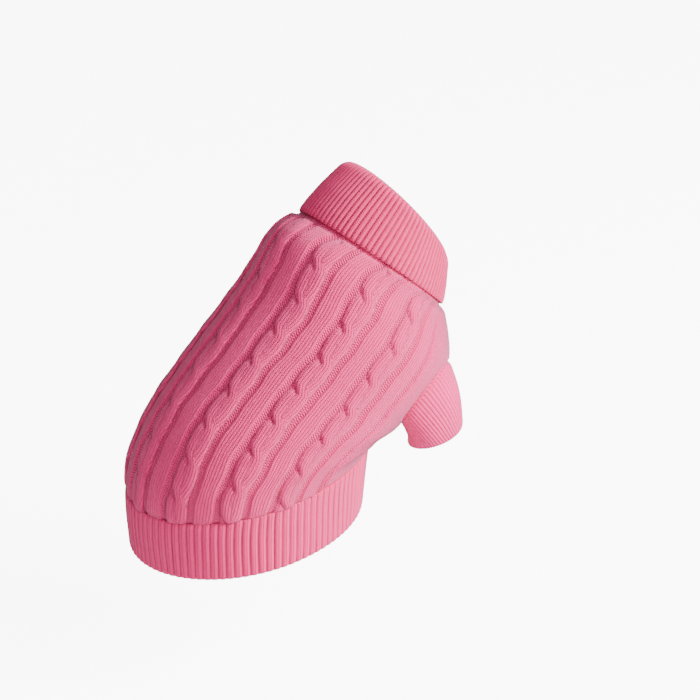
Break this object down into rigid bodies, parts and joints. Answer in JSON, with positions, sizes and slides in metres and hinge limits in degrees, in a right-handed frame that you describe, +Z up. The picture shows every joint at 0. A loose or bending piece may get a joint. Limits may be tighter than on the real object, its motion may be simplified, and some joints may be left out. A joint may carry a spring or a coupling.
{
  "type": "dog sweater",
  "caption": "Cable-knit turtleneck sweater for a small dog, in its hollow worn form, with a ribbed hem band, short ribbed sleeves and a folded collar.",
  "frame": {"origin": "centre of the neck hole, in the plane of the turned-down collar's lower edge, where the wearer's neck holds the sweater up", "axes": "+X is the wearer's forward, +Y is the wearer's left, +Z is up in the sitting pose"},
  "size_m": [0.189, 0.1284, 0.2028],
  "materials": {
    "cable_knit": "matt pink cable knit",
    "plain_knit": "matt pink plain knit",
    "rib_knit": "matt pink ribbed knit",
    "sleeve_knit": "matt pink ribbed knit"
  },
  "bodies": {
    "root": {"back_panel": "cable_knit", "belly_panel": "plain_knit", "hem_band": "rib_knit", "sleeve_right": "sleeve_knit", "sleeve_left": "sleeve_knit", "collar": "rib_knit"}
  },
  "joints": []
}
